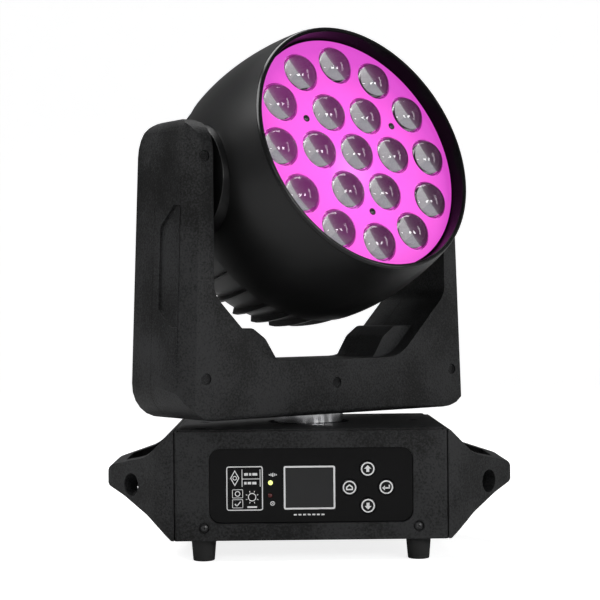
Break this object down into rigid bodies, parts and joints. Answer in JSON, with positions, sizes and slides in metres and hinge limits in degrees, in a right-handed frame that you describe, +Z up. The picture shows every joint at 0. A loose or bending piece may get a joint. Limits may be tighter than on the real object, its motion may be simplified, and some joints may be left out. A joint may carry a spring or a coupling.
{
  "type": "moving head light",
  "caption": "Motorised stage light: a round zoom head of domed lenses tilts in a U-shaped yoke that pans on a base with carrying handles and a display.",
  "frame": {"origin": "on the floor under the pan axis, at the middle of the base", "axes": "+Z up along the pan axis, -Y out of the display, +X to the right of someone facing the display; the head is stored panned 38 degrees and tilted 70.2 degrees from straight up"},
  "size_m": [0.365, 0.282, 0.4736],
  "materials": {
    "black_housing": "fine spark-eroded texture",
    "drum_black": "smooth satin paint",
    "gloss_black": "polished",
    "display_glass": "smooth",
    "status_light": "clear dome",
    "foot_rubber": "matt",
    "screw_black": "black oxide",
    "steel_plate": "zinc plated",
    "polished_aluminium": "polished",
    "cast_aluminium": "machined",
    "motor_black": "black lacquer",
    "board_green": "solder mask",
    "belt_rubber": "matt",
    "power_blue": "moulded",
    "power_grey": "moulded",
    "lens_acrylic": "polished dome",
    "glow_plate": "moulded, lit magenta",
    "emitter": "moulded",
    "brass": "turned"
  },
  "bodies": {
    "base": {"base_housing": "black_housing", "base_top_cover": "black_housing", "base_bottom_plate": "steel_plate", "side_handle_left": "black_housing", "side_handle_right": "black_housing", "rubber_feet": "foot_rubber", "base_screws": "screw_black", "display_panel": "gloss_black", "lcd_module": "display_glass", "status_lights": "status_light", "control_board": "board_green", "power_supply": "steel_plate", "rear_panel": "motor_black", "data_input": "black_housing", "data_output": "black_housing", "power_inlet": "power_blue", "power_outlet": "power_grey", "fuse_holder": "gloss_black", "pan_bearing": "cast_aluminium", "pan_motor": "motor_black", "pan_belt": "belt_rubber"},
    "button_up": {"button_up": "gloss_black"},
    "button_down": {"button_down": "gloss_black"},
    "button_menu": {"button_menu": "gloss_black"},
    "button_enter": {"button_enter": "gloss_black"},
    "data_latch": {"data_latch": "steel_plate"},
    "pan_motor_pulley": {"pan_motor_pulley": "cast_aluminium"},
    "yoke": {"pan_shaft": "polished_aluminium", "pan_pulley": "cast_aluminium", "yoke_chassis": "steel_plate", "yoke_front_cover": "black_housing", "yoke_rear_cover": "black_housing", "yoke_screws": "screw_black", "driver_board": "board_green", "tilt_bearings": "cast_aluminium", "tilt_motor": "motor_black", "tilt_belt": "belt_rubber"},
    "tilt_motor_pulley": {"tilt_motor_pulley": "cast_aluminium"},
    "head": {"drum_shell": "drum_black", "front_bezel": "gloss_black", "finned_housing": "drum_black", "rear_grille": "black_housing", "tilt_hub_left": "drum_black", "tilt_hub_right": "drum_black", "tilt_pulley": "cast_aluminium", "heat_sink": "cast_aluminium", "led_board": "board_green", "led_emitters": "emitter", "zoom_motors": "motor_black", "guide_rods": "steel_plate", "fan_frame": "motor_black"},
    "fan_rotor": {"fan_rotor": "motor_black"},
    "zoom_screw_1": {"zoom_screw_1": "steel_plate"},
    "zoom_screw_2": {"zoom_screw_2": "steel_plate"},
    "zoom_screw_3": {"zoom_screw_3": "steel_plate"},
    "zoom_carriage": {"lens_plate": "glow_plate", "lenses": "lens_acrylic", "zoom_nuts": "brass", "plate_screws": "screw_black"}
  },
  "joints": [
    {"name": "pan", "type": "hinge", "parent": "base", "child": "yoke", "pos_m": [0, 0, 0.1], "axis": [0, 0, 1], "range_deg": [-308, 232]},
    {"name": "tilt", "type": "hinge", "parent": "yoke", "child": "head", "pos_m": [0, 0, 0.3327], "axis": [0.788, 0.6157, 0], "range_deg": [-205.2, 64.8]},
    {"name": "zoom", "type": "slide", "parent": "head", "child": "zoom_carriage", "axis": [0.5793, -0.7414, 0.3387], "range_m": [-0.016, 0.004]},
    {"name": "pan_motor_spin", "type": "hinge", "parent": "base", "child": "pan_motor_pulley", "pos_m": [-0.085, 0, 0.08], "axis": [0, 0, 1], "range_deg": [-1700, 1280]},
    {"name": "tilt_motor_spin", "type": "hinge", "parent": "yoke", "child": "tilt_motor_pulley", "pos_m": [0.11741, 0.09173, 0.165], "axis": [0.788, 0.6157, 0], "range_deg": [-670, 214]},
    {"name": "head_fan_spin", "type": "hinge", "parent": "head", "child": "fan_rotor", "pos_m": [-0.03186, 0.04078, 0.31407], "axis": [0.5793, -0.7414, 0.3387], "continuous": true},
    {"name": "zoom_screw_spin_1", "type": "hinge", "parent": "head", "child": "zoom_screw_1", "pos_m": [0.05672, 0.00902, 0.37355], "axis": [0.5793, -0.7414, 0.3387], "range_deg": [-181, 721]},
    {"name": "zoom_screw_spin_2", "type": "hinge", "parent": "head", "child": "zoom_screw_2", "pos_m": [-0.02248, -0.05285, 0.37355], "axis": [0.5793, -0.7414, 0.3387], "range_deg": [-181, 721]},
    {"name": "zoom_screw_spin_3", "type": "hinge", "parent": "head", "child": "zoom_screw_3", "pos_m": [0.03527, -0.04514, 0.29166], "axis": [0.5793, -0.7414, 0.3387], "range_deg": [-181, 721]},
    {"name": "button_up_press", "type": "slide", "parent": "base", "child": "button_up", "axis": [0, 1, 0], "range_m": [0, 0.0012], "stiffness_N_per_m": 600, "springref_m": -0.0008},
    {"name": "button_down_press", "type": "slide", "parent": "base", "child": "button_down", "axis": [0, 1, 0], "range_m": [0, 0.0012], "stiffness_N_per_m": 600, "springref_m": -0.0008},
    {"name": "button_menu_press", "type": "slide", "parent": "base", "child": "button_menu", "axis": [0, 1, 0], "range_m": [0, 0.0012], "stiffness_N_per_m": 600, "springref_m": -0.0008},
    {"name": "button_enter_press", "type": "slide", "parent": "base", "child": "button_enter", "axis": [0, 1, 0], "range_m": [0, 0.0012], "stiffness_N_per_m": 600, "springref_m": -0.0008},
    {"name": "data_latch_press", "type": "slide", "parent": "base", "child": "data_latch", "axis": [0, -1, 0], "range_m": [0, 0.0015], "stiffness_N_per_m": 500, "springref_m": -0.0008}
  ],
  "couplings": [
    {"joint": "pan_motor_spin", "follows": "pan", "ratio": 5.5},
    {"joint": "tilt_motor_spin", "follows": "tilt", "ratio": 3.25},
    {"joint": "zoom_screw_spin_1", "follows": "zoom", "rad_per_m": -785.4},
    {"joint": "zoom_screw_spin_2", "follows": "zoom", "rad_per_m": -785.4},
    {"joint": "zoom_screw_spin_3", "follows": "zoom", "rad_per_m": -785.4}
  ]
}
